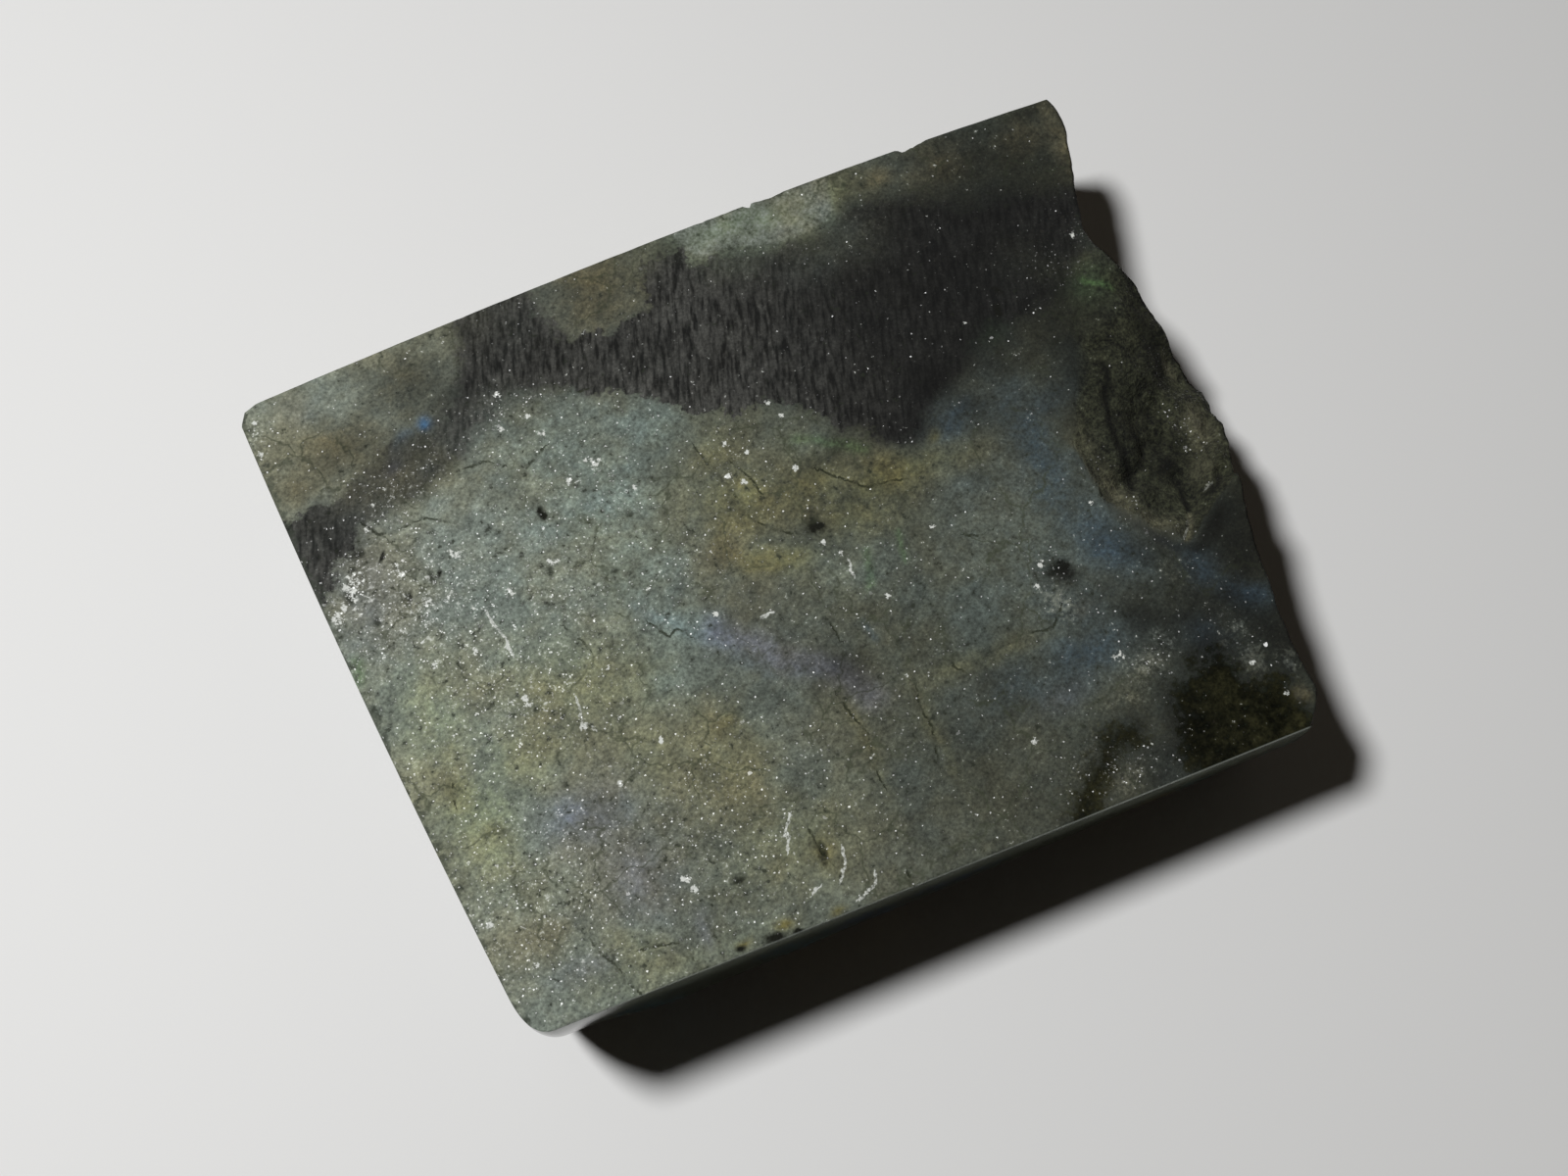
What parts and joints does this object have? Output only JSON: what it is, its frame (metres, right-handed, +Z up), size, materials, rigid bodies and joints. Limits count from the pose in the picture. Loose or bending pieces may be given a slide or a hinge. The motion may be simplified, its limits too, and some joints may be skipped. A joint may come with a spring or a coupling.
{
  "type": "partly polished labradorite slab",
  "caption": "Thick sawn slab of dark feldspar that rests on a polished face with a curled rim, with a rough sawn face up and a broken end.",
  "frame": {"origin": "under the middle of the stone, on the surface that it lies on", "axes": "+X along the long side towards the broken end, -Y out of the polished flank, +Z up out of the sawn face"},
  "size_m": [0.0701, 0.0555, 0.0158],
  "materials": {
    "labradorite": "rough sawn above, polished below"
  },
  "bodies": {
    "root": {"labradorite_slab": "labradorite"}
  },
  "joints": []
}
